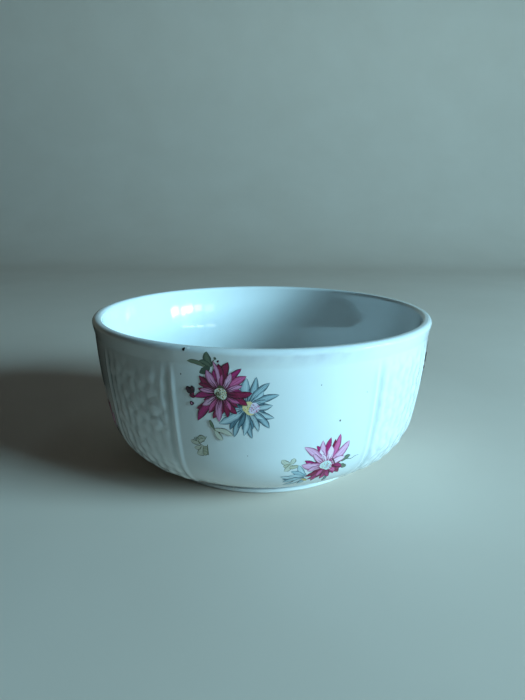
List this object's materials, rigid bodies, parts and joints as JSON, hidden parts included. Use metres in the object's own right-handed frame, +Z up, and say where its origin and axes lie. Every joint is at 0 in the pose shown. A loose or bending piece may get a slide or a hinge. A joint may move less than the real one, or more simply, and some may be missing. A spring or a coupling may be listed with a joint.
{
  "type": "porcelain serving bowl",
  "caption": "Round footed porcelain serving bowl with a banded rim, ribbed basketweave panels and printed flower sprays on smooth panels.",
  "frame": {"origin": "middle of the foot ring's resting face, on the bowl's axis", "axes": "+Z up along the bowl's axis, -Y towards the front smooth panel with the flower sprays"},
  "size_m": [0.18, 0.18, 0.08],
  "materials": {
    "porcelain": "unglazed hard porcelain, matt and slightly grainy, seen only on the foot ring's resting face",
    "glaze": "clear glossy feldspathic glaze over white porcelain, faintly blue where it pools",
    "flower_enamel": "fired multicolour flower transfer: crimson, rose, blue-grey, cream, olive and dark outlines, glossy"
  },
  "bodies": {
    "root": {"porcelain_body": "porcelain", "outer_glaze": "glaze", "inner_glaze": "glaze", "base_glaze": "glaze", "large_bouquet_front": "flower_enamel", "large_bouquet_right": "flower_enamel", "large_bouquet_back": "flower_enamel", "large_bouquet_left": "flower_enamel", "leaf_sprig_front": "flower_enamel", "leaf_sprig_right": "flower_enamel", "leaf_sprig_back": "flower_enamel", "leaf_sprig_left": "flower_enamel", "small_bouquet_front": "flower_enamel", "small_bouquet_right": "flower_enamel", "small_bouquet_back": "flower_enamel", "small_bouquet_left": "flower_enamel"}
  },
  "joints": []
}
